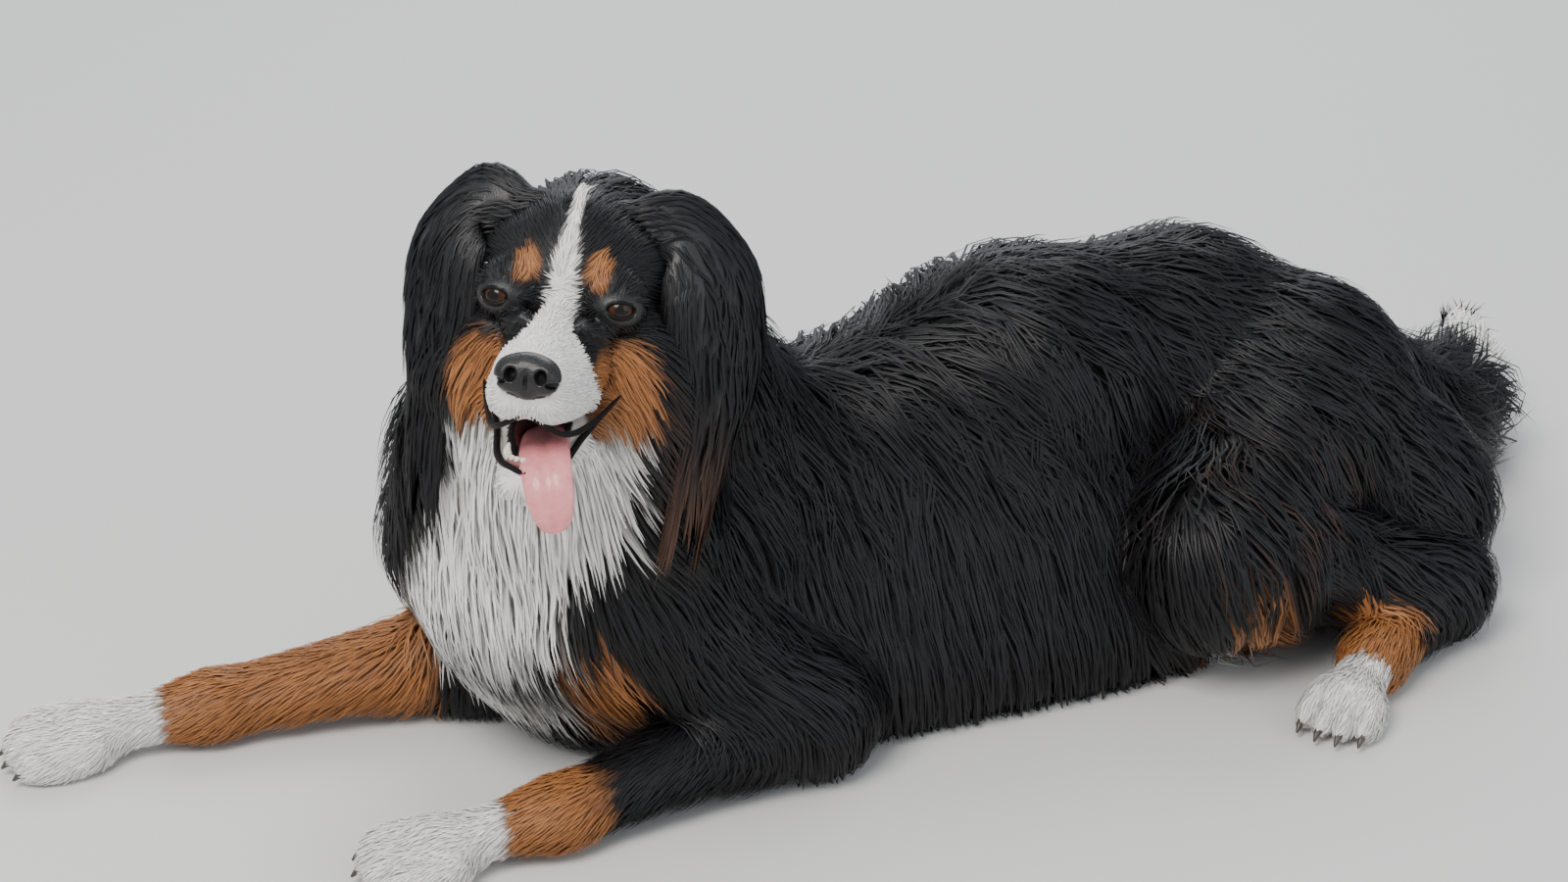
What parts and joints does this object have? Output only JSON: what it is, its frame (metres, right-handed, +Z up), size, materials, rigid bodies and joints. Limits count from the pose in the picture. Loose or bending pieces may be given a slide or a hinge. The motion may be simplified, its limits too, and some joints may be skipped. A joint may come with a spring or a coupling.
{
  "type": "lying dog figure",
  "caption": "Life-size still figure of a long-coated tricolour mountain dog lying on its chest, forelegs stretched out, head turned and mouth open",
  "frame": {"origin": "on the floor under the middle of the trunk", "axes": "+X runs from the breast towards the rump, so the dog faces -X; -Y is the dog's left; +Z is up from the floor"},
  "size_m": [1.5089, 0.6014, 0.5105],
  "materials": {
    "black_coat": "long jet-black hair, slightly wavy, with a soft sheen",
    "white_coat": "clean white hair, soft and matt",
    "tan_coat": "rust-tan short hair, matt",
    "nose_leather": "fine-pebbled black skin, damp",
    "eye": "dark brown iris under a clear wet surface",
    "tongue": "wet pink skin with a middle groove",
    "teeth": "ivory, polished",
    "claw": "dark horn, slightly worn"
  },
  "bodies": {
    "root": {"nose": "nose_leather", "eye_left": "eye", "eye_right": "eye", "tongue": "tongue", "lower_teeth": "teeth", "claw_fore_left_1": "claw", "claw_fore_left_2": "claw", "claw_fore_left_3": "claw", "claw_fore_left_4": "claw", "claw_hind_left_1": "claw", "claw_hind_left_2": "claw", "claw_hind_left_3": "claw", "claw_hind_left_4": "claw", "claw_fore_right_1": "claw", "claw_fore_right_2": "claw", "claw_fore_right_3": "claw", "claw_fore_right_4": "claw", "claw_hind_right_1": "claw", "claw_hind_right_2": "claw", "claw_hind_right_3": "claw", "claw_hind_right_4": "claw", "ear_left": "black_coat", "ear_right": "black_coat", "head": "black_coat", "lower_jaw": "white_coat", "forepaw_left": "white_coat", "hindpaw_left": "white_coat", "forepaw_right": "white_coat", "hindpaw_right": "white_coat", "torso": "black_coat", "neck": "black_coat", "forearm_left": "tan_coat", "upper_arm_left": "black_coat", "thigh_left": "black_coat", "shank_left": "black_coat", "hind_pastern_left": "tan_coat", "forearm_right": "tan_coat", "upper_arm_right": "black_coat", "thigh_right": "black_coat", "shank_right": "black_coat", "hind_pastern_right": "tan_coat", "tail_root": "black_coat", "tail_middle": "black_coat", "tail_tip": "white_coat"}
  },
  "joints": []
}
